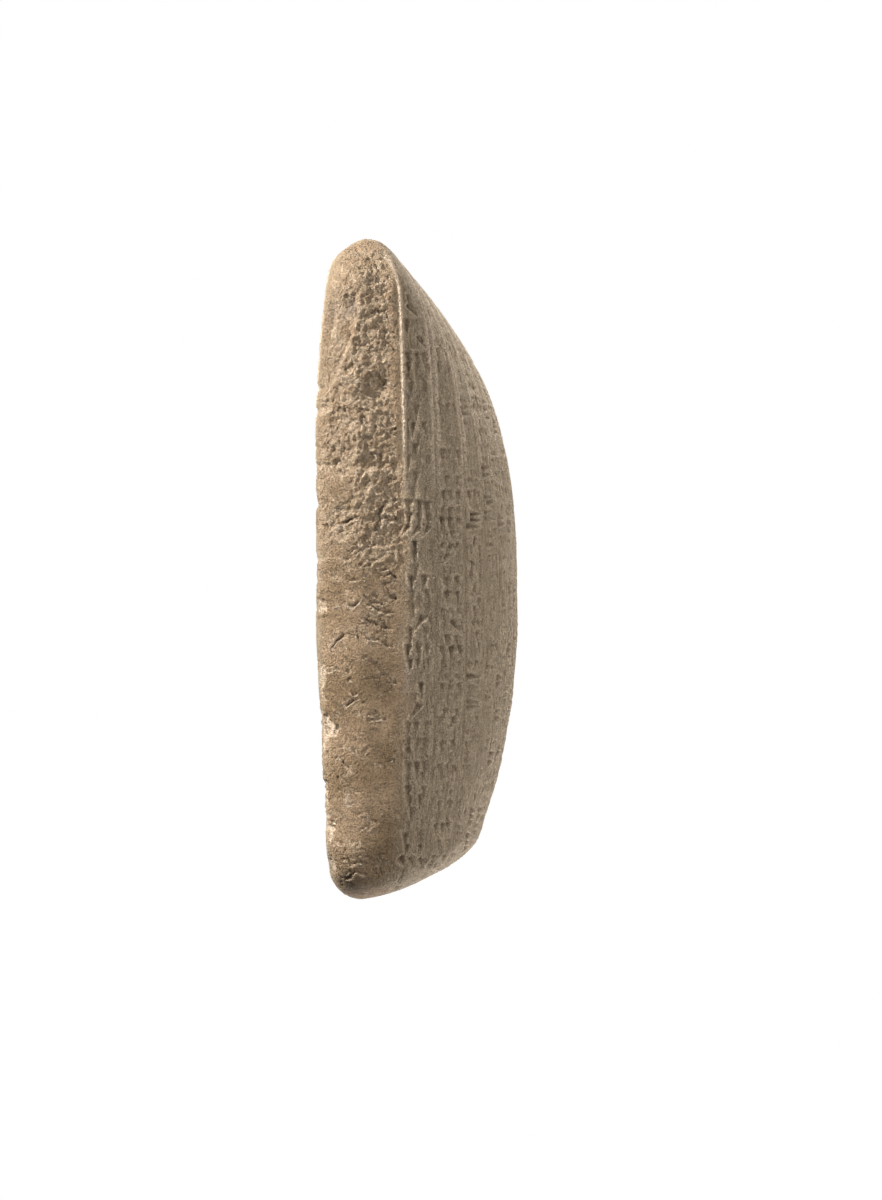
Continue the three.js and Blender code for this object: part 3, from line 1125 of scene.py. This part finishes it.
    @staticmethod
    def _thin(piece: bpy.types.Object, where: np.ndarray, triangles: int) -> None:
        """Takes triangles away where the surface is smooth.

        Args:
            piece: The object, whose mesh is replaced.
            where: The points that may go.
            triangles: How many triangles are left.
        """
        old = piece.data
        thin = piece.modifiers.new("thin", "DECIMATE")
        old.calc_loop_triangles()
        thin.ratio = min(triangles / len(old.loop_triangles), 1)
        group = piece.vertex_groups.new(name="thinned")
        group.add(np.nonzero(where)[0].tolist(), 1.0, "REPLACE")
        thin.vertex_group = group.name
        graph = bpy.context.evaluated_depsgraph_get()
        piece.data = bpy.data.meshes.new_from_object(piece.evaluated_get(graph))
        piece.modifiers.clear()
        piece.vertex_groups.clear()
        bpy.data.meshes.remove(old)


class NodeSheet:
    """A material's nodes, added one at a time."""

    def __init__(self, name: str) -> None:
        """Starts a material with its output and one principled shader."""
        self.material = bpy.data.materials.new(name)
        self.material.use_nodes = True
        self.nodes = self.material.node_tree.nodes
        self.links = self.material.node_tree.links
        self.shader = self.nodes["Principled BSDF"]

    def add(self, kind: str, settings: dict | None = None, **inputs: object) -> bpy.types.Node:
        """Adds one node.

        Args:
            kind: The node's type, without its ShaderNode prefix.
            settings: Properties of the node itself.
            **inputs: Its inputs by name or as in_0, in_1; a socket is linked and the rest is set.

        Returns:
            The node.
        """
        node = self.nodes.new("ShaderNode" + kind)
        for name, value in (settings or {}).items():
            setattr(node, name, value)
        for name, value in inputs.items():
            key = int(name[3:]) if name.startswith("in_") else name.replace("_", " ")
            if isinstance(value, bpy.types.NodeSocket):
                self.links.new(value, node.inputs[key])
            else:
                node.inputs[key].default_value = value
        return node


@dataclass(frozen=True)
class RiverClay:
    """Silty river clay, shaped and smoothed by hand, then dried and lightly fired.

    It is matt and open-pored: no gloss, warm brown where it was smoothed, greyer where the
    stylus and years of handling have closed it, and paler where a chip shows its inside.
    Raised lips and small flecks carry painted highlights, and cuts, cracks and pores carry
    painted shade.
    """

    band: str = "#a88e71"
    band_dark: str = "#8b7458"
    band_light: str = "#c6ae91"
    face: str = "#a8967d"
    face_dark: str = "#8b7964"
    face_light: str = "#c4b299"
    broken: str = "#c2aa8d"
    broken_dark: str = "#9f866a"
    # Colour of the chips, and of the painted highlights on raised lips and flecks
    chip_and_highlight: str = "#dac4aa"
    ash: str = "#a8998a"
    # Colour that darkens the near band's corner at the blunt end
    blunt_corner_dark: str = "#54483a"
    # Colour of the painted shade in cuts, cracks, pores and hair cracks
    recess_shade: str = "#4c3d2e"
    roughness: float = 0.9
    specular: float = 0.2
    speckling: float = 0.8

    # How the patterns lie: askew, across the bands, or drawn out along the rows
    VIEWS: ClassVar[dict[str, dict]] = {
        "askew": {"Rotation": (0.6, 0.4, 0.9)},
        "across": {"Scale": (2.0, 1, 0.7)},
        "along": {"Scale": (0.16, 1, 1)},
    }
    # Each noise's view, lump size in millimetres, detail and roughness. Silt is finer than
    # 0.06 mm, so grit and sand are drawn as coarse as they need to show.
    NOISES: ClassVar[dict[str, tuple]] = {
        "mottle": ("askew", 9.0, 3.0, 0.5),
        "cloud": ("askew", 1.6, 6.0, 0.62),
        "grain": ("askew", 0.7, 5.0, 0.7),
        "grit": ("askew", 0.28, 3.0, 0.65),
        "hair": ("across", 2.4, 6.0, 0.65),
        "streak": ("along", 0.5, 4.0, 0.6),
    }
    # Sizes of the cells in millimetres
    CELLS: ClassVar[dict[str, float]] = {"pore": 0.75, "sand": 0.42, "glint": 1.0}
    # What each share follows, where its rise starts and ends, and the share at both
    SHARES: ClassVar[dict[str, tuple]] = {
        "mottled": ("mottle", 0.35, 0.65, 0, 1),
        "clouded": ("cloud", 0.52, 0.72, 0, 0.55),
        "grained": ("grain", 0.5, 0.3, 0, 0.45),
        "streaked": ("streak", 0.34, 0.56, 0.1, 1),
        "rubbed": ("streak", 0.58, 0.75, 0, 0.4),
        "crumbled": ("cloud", 0.35, 0.6, 0, 1),
        "filmed": ("ash", 0, 1, 0, 0.55),
        "patchy": ("grain", 0.35, 0.55, 0.3, 1),
        # Painted shade in cuts and cracks, by the recess tone
        "shaded": ("recess_shade", 0.1, 1, 0, 0.7),
        "blunt_corner_darkened": ("blunt_corner_dark", 0, 1, 0, 0.4),
        "speckled": ("grit", 0.3, 0.7, 0.62, 1.3),
        # Painted glints: small bright dots where light would catch grit facets
        "in_glint": ("glint", 0.1, 0.16, 0.85, 0),
        "glint_area": ("cloud", 0.5, 0.6, 0, 1),
        "in_pore": ("pore", 0.16, 0.3, 1, 0),
        "pore_area": ("cloud", 0.5, 0.42, 0, 1),
        "in_hair": ("hair_gap", 0.003, 0.02, 1, 0),
        "hair_area": ("cloud", 0.47, 0.56, 0, 1),
        "off_face": ("face", 0, 0.6, 1, 0.15),
        "grain_height": ("broken", 0, 1, 0.42, 0.9),
        "streak_height": ("face", 0, 1, 0.02, 0.16),
    }
    # Shares made of two others, or of one and a number
    PRODUCTS: ClassVar[dict[str, tuple]] = {
        "pores": ("in_pore", "pore_area"),
        "hairs": ("in_hair", "hair_area"),
        "hairlines": ("hairs", "off_face"),
        # The pale tone times patchiness: real chips, and painted highlights on raised lips
        "chips_and_highlights": ("pale", "patchy"),
        # Painted glints
        "painted_glints": ("in_glint", "glint_area"),
        # Painted shade in the pores and hair cracks
        "pore_shade": ("pores", 0.45),
        "hairline_shade": ("hairlines", 0.35),
    }
    # Heights in millimetres: loose grain where broken, drawn-out streaks on the faces
    HEIGHTS: ClassVar[dict[str, str | float]] = {
        "grain": "grain_height",
        "grit": 0.5,
        "streak": "streak_height",
        "sand": -0.12,
        "hairlines": -0.2,
        "pores": -0.1,
    }

    def material(self) -> bpy.types.Material:
        """Builds the clay's nodes.

        Returns:
            The material.
        """
        sheet = NodeSheet("river_clay")
        link = self._patterns(sheet)
        sheet.links.new(self._colour(sheet, link), sheet.shader.inputs["Base Color"])
        sheet.shader.inputs["Roughness"].default_value = self.roughness
        sheet.shader.inputs["Specular IOR Level"].default_value = self.specular
        height = 0.0
        for name, size in self.HEIGHTS.items():
            height = sheet.add("Math", {"operation": "MULTIPLY_ADD"}, in_0=link[name],
                               in_1=link.get(size, size), in_2=height).outputs[0]
        bump = sheet.add("Bump", Height=height, Strength=1.0, Distance=MM)
        sheet.links.new(bump.outputs[0], sheet.shader.inputs["Normal"])
        return sheet.material

    def _patterns(self, sheet: NodeSheet) -> dict[str, bpy.types.NodeSocket]:
        """Adds all that the colour and the bump follow.

        Args:
            sheet: The material's nodes.

        Returns:
            The skin's tones, the patterns and the shares, each by its name.
        """
        link = {
            name: sheet.add("Attribute", {"attribute_name": name}).outputs["Fac"]
            for name in ClaySkin.TONES
        }
        place = sheet.add("TexCoord").outputs["Object"]
        views = {
            name: sheet.add("Mapping", Vector=place, **turn).outputs[0]
            for name, turn in self.VIEWS.items()
        }
        for name, (view, size, detail, roughness) in self.NOISES.items():
            link[name] = sheet.add("TexNoise", Vector=views[view], Scale=1 / (size * MM),
                                   Detail=detail, Roughness=roughness).outputs["Fac"]
        for name, size in self.CELLS.items():
            link[name] = sheet.add("TexVoronoi", {"feature": "F1"}, Vector=views["askew"],
                                   Scale=1 / (size * MM)).outputs["Distance"]
        # Hair cracks run where their noise crosses its middle
        past = sheet.add("Math", {"operation": "SUBTRACT"}, in_0=link["hair"], in_1=0.5).outputs[0]
        link["hair_gap"] = sheet.add("Math", {"operation": "ABSOLUTE"}, in_0=past).outputs[0]
        for name, (source, low, high, first, last) in self.SHARES.items():
            link[name] = sheet.add("MapRange", {"interpolation_type": "SMOOTHSTEP"},
                                   Value=link[source], From_Min=low, From_Max=high,
                                   To_Min=first, To_Max=last).outputs[0]
        for name, (one, other) in self.PRODUCTS.items():
            link[name] = sheet.add("Math", {"operation": "MULTIPLY"}, in_0=link[one],
                                   in_1=link.get(other, other)).outputs[0]
        return link

    def _colour(self, sheet: NodeSheet, link: dict) -> bpy.types.NodeSocket:
        """Mixes the clay's colour from its tones.

        Args:
            sheet: The material's nodes.
            link: The shares to mix by.

        Returns:
            The colour.
        """
        coats = {
            "band": (self.band_dark, ("mottled", self.band), ("clouded", self.band_light),
                     ("grained", self.band_dark)),
            "face": (self.face_dark, ("streaked", self.face), ("rubbed", self.face_light)),
            "broken": (self.broken_dark, ("crumbled", self.broken)),
        }
        part = {name: self._lay(sheet, link, *layers) for name, layers in coats.items()}
        # Painted shade in the cuts and cracks, and painted highlights on raised lips in the chip
        # colour
        colour = self._lay(
            sheet, link, part["band"], ("face", part["face"]), ("broken", part["broken"]),
            ("filmed", self.ash), ("chips_and_highlights", self.chip_and_highlight), ("shaded", self.recess_shade),
            ("blunt_corner_darkened", self.blunt_corner_dark))
        speck = link["speckled"]
        shade = sheet.add("CombineColor", Red=speck, Green=speck, Blue=speck).outputs[0]
        settings = {"data_type": "RGBA", "blend_type": "MULTIPLY", "clamp_factor": True}
        colour = sheet.add("Mix", settings, in_0=self.speckling, in_6=colour, in_7=shade).outputs[2]
        # Painted glints in the chip colour, then painted shade in the pores and hair cracks
        return self._lay(sheet, link, colour, ("painted_glints", self.chip_and_highlight), ("pore_shade", self.recess_shade),
                         ("hairline_shade", self.recess_shade))

    @staticmethod
    def _lay(sheet: NodeSheet, link: dict, base: object, *coats: tuple) -> bpy.types.NodeSocket:
        """Lays coats of colour over each other.

        Args:
            sheet: The material's nodes.
            link: The shares to mix by.
            base: The lowest colour.
            *coats: The name of each coat's share, and its colour.

        Returns:
            The colour on top.
        """
        settings = {"data_type": "RGBA", "blend_type": "MIX", "clamp_factor": True}
        for share, coat in coats:
            under, over = (linear(c) if isinstance(c, str) else c for c in (base, coat))
            base = sheet.add("Mix", settings, in_0=link[share], in_6=under, in_7=over).outputs[2]
        return base


@dataclass
class ClayTablet:
    """The tablet, with its written faces, cracked bands and broken edge."""

    end_allowance: float = 0.17
    most_triangles: int = 197000
    pit_seed: int = 61
    finish: RiverClay = field(default_factory=RiverClay)

    def build(self) -> bpy.types.Object:
        """Models and dresses the tablet in place of its plain solid.

        Returns:
            The dressed tablet.
        """
        low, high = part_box(CAD_NODE)
        size = (high - low) / MM
        form = TabletForm(size.x + 2 * self.end_allowance, size.y, size.z)
        grid = SkinGrid(form)
        log.info("grid of %d points", len(grid.points))
        skin = ClaySkin(form, grid)
        skin.press_by_hand()
        skin.write()
        skin.crack_bands()
        skin.crumble()
        for side in (-1, 1):
            skin.wear_edge(side)
        skin.dent(NEAR_DENTS, -1)
        dice = np.random.RandomState(self.pit_seed)
        for side in (-1, 1):
            skin.scatter_dents(side, dice)
        skin.darken_blunt_corner()
        piece = skin.build("dressed_tablet", self.most_triangles)
        # It rests on the height that the solid rests on
        lowest = min(vertex.co.z for vertex in piece.data.vertices)
        piece.data.transform(Matrix.Translation((0, 0, low.z - lowest)))
        piece.data.materials.append(self.finish.material())
        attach(piece, "root")
        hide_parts(CAD_NODE)
        piece.data.calc_loop_triangles()
        log.info("tablet of %d triangles", len(piece.data.loop_triangles))
        return piece


@dataclass
class PhotoCamera:
    """The camera: level with the tablet, looking at its near band, and rolled on its side.

    The tablet lies on its flat face, so the roll puts the thin end at the top of the picture.
    """

    distance: float = 650.0
    along: float = 5.0
    height: float = 20.13
    pixels_per_mm: float = 6.29
    picture_height: float = 1200.0
    sensor: float = 36.0
    clip: tuple[float, float] = (0.01, 50.0)

    def build(self, near_side: float) -> bpy.types.Object:
        """Places the camera.

        Args:
            near_side: The near band's place across the tablet, in millimetres.

        Returns:
            The camera.
        """
        data = bpy.data.cameras.new("camera")
        data.sensor_width = self.sensor
        data.lens = self.sensor * self.pixels_per_mm * self.distance / self.picture_height
        data.clip_start, data.clip_end = self.clip
        camera = bpy.data.objects.new("camera", data)
        right, up, back = Vector((0, 0, 1)), Vector((-1, 0, 0)), Vector((0, -1, 0))
        turn = Matrix((right, up, back)).transposed().to_4x4()
        eye = Vector((self.along, near_side - self.distance, self.height)) * MM
        camera.matrix_world = Matrix.Translation(eye) @ turn
        bpy.context.scene.collection.objects.link(camera)
        bpy.context.scene.camera = camera
        return camera


@dataclass(frozen=True)
class Lamp:
    """A square lamp that faces the tablet: its place in metres, its width and its power."""

    name: str
    place: tuple[float, float, float]
    size: float
    power: float
    aim: tuple[float, float, float] = (0.0, 0.0, 0.012)

    def build(self) -> None:
        """Makes the lamp."""
        data = bpy.data.lights.new(self.name, "AREA")
        data.size = self.size
        data.energy = self.power
        light = bpy.data.objects.new(self.name, data)
        ahead = Vector(self.aim) - Vector(self.place)
        turn = ahead.to_track_quat("-Z", "Y").to_matrix().to_4x4()
        light.matrix_world = Matrix.Translation(self.place) @ turn
        bpy.context.scene.collection.objects.link(light)


@dataclass
class Studio:
    """A glass table on white, with the key lamp below it and weaker ones above and behind.

    The key lamp stands beyond the thin end, so it rakes over the near band as in the photo.
    """

    floor_size: float = 6.0
    surround_size: float = 8.0
    surround_facets: tuple[int, int] = (48, 24)
    sky: float = 0.3
    lamps: tuple[Lamp, ...] = (
        Lamp("key_lamp", (-0.42, -0.25, -0.56), 0.12, 15.0),
        Lamp("front_lamp", (0.04, -0.46, 0.70), 0.16, 3.2),
        Lamp("top_lamp", (-0.16, 0.02, 0.86), 0.4, 0.8),
        Lamp("thin_end_lamp", (-0.50, 0.48, 0.17), 0.2, 7.5),
        Lamp("blunt_end_lamp", (0.50, 0.48, 0.15), 0.2, 6.5),
    )

    def build(self) -> None:
        """Makes the table, the surround, the lamps and the world."""
        bpy.ops.mesh.primitive_plane_add(size=self.floor_size)
        self._whiten("opal_glass")
        segments, rings = self.surround_facets
        bpy.ops.mesh.primitive_uv_sphere_add(segments=segments, ring_count=rings,
                                             radius=self.surround_size / 2)
        self._whiten("white_surround")
        for lamp in self.lamps:
            lamp.build()
        world = bpy.data.worlds.new("soft_room")
        world.use_nodes = True
        background = world.node_tree.nodes["Background"]
        background.inputs["Color"].default_value = linear("#ffffff")
        background.inputs["Strength"].default_value = self.sky
        bpy.context.scene.world = world
        bpy.context.scene.view_settings.view_transform = "Standard"

    @staticmethod
    def _whiten(name: str) -> None:
        """Makes the thing just added plain white, with no part in the lighting.

        Args:
            name: Name of the thing, and of what it is made of.
        """
        sheet = NodeSheet(name)
        sheet.shader.inputs["Base Color"].default_value = linear("#000000")
        sheet.shader.inputs["Specular IOR Level"].default_value = 0.0
        sheet.shader.inputs["Emission Color"].default_value = linear("#ffffff")
        sheet.shader.inputs["Emission Strength"].default_value = 1.0
        thing = bpy.context.object
        thing.name = name
        thing.data.materials.append(sheet.material)
        thing.visible_diffuse = False
        thing.visible_glossy = False
        thing.visible_shadow = False
        thing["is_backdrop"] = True


def main() -> None:
    """Builds the camera, the tablet and the studio in that order."""
    logging.basicConfig(level=logging.INFO, format="%(message)s")
    cad_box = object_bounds()
    PhotoCamera().build(cad_box[0][1] / MM)
    log.info("camera placed")
    ClayTablet().build()
    Studio().build()
    log.info("studio lit")


if __name__ == "__main__":
    main()
